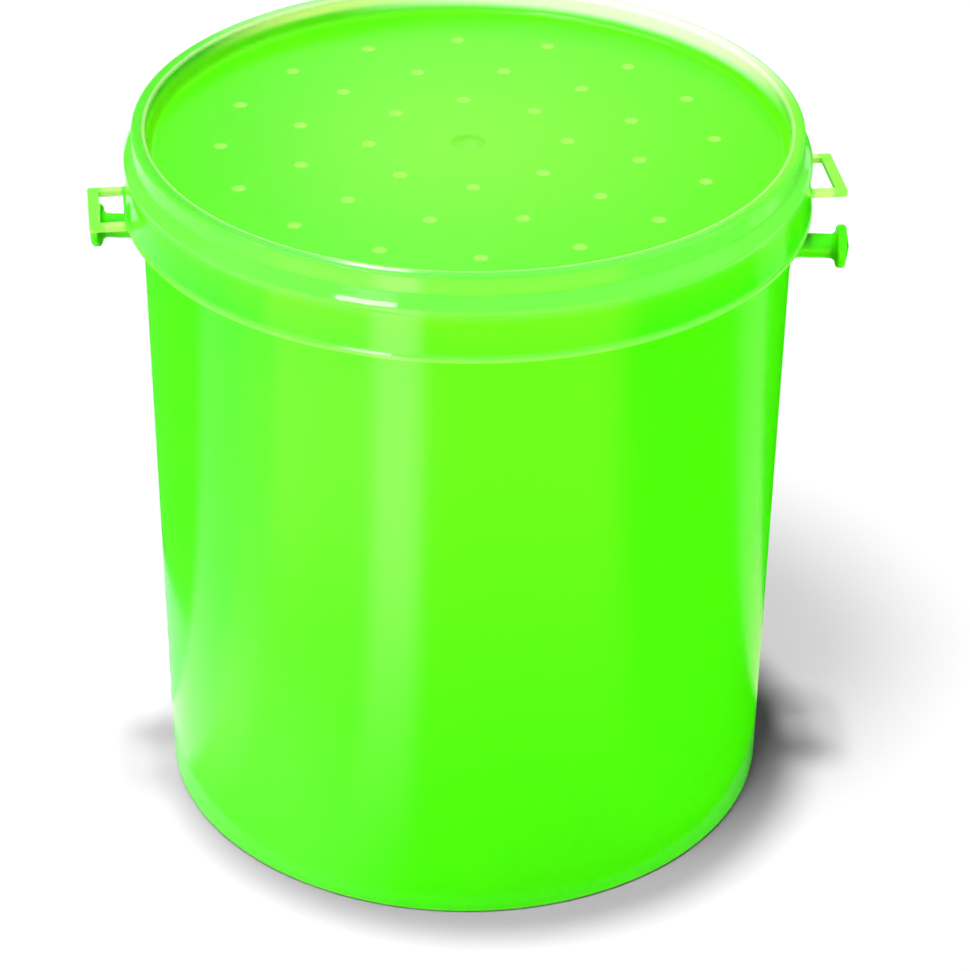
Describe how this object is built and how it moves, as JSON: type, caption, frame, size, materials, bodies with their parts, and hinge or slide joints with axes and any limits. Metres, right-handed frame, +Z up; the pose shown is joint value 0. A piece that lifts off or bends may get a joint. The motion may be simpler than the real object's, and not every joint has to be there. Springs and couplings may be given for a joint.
{
  "type": "bait bucket",
  "caption": "Round bait bucket with a push-on lid: air holes in a recessed panel, a stacking lip, flat lifting loops on the lid and mushroom studs for a bail handle.",
  "frame": {"origin": "middle of the foot, on the surface the bucket stands on", "axes": "+Z up along the axis of the bucket, X through the two loops of the lid"},
  "size_m": [0.1548, 0.1404, 0.152],
  "materials": {
    "bucket_plastic": "translucent bright green moulded plastic, smooth and glossy",
    "lid_plastic": "translucent bright green moulded plastic, thinner than the bucket and a little paler, glossy"
  },
  "bodies": {
    "bucket": {"bucket": "bucket_plastic"},
    "lid": {"lid": "lid_plastic"}
  },
  "joints": [
    {"name": "lid_lift", "type": "slide", "parent": "bucket", "child": "lid", "axis": [0, 0, 1], "range_m": [0, 0.12]}
  ]
}
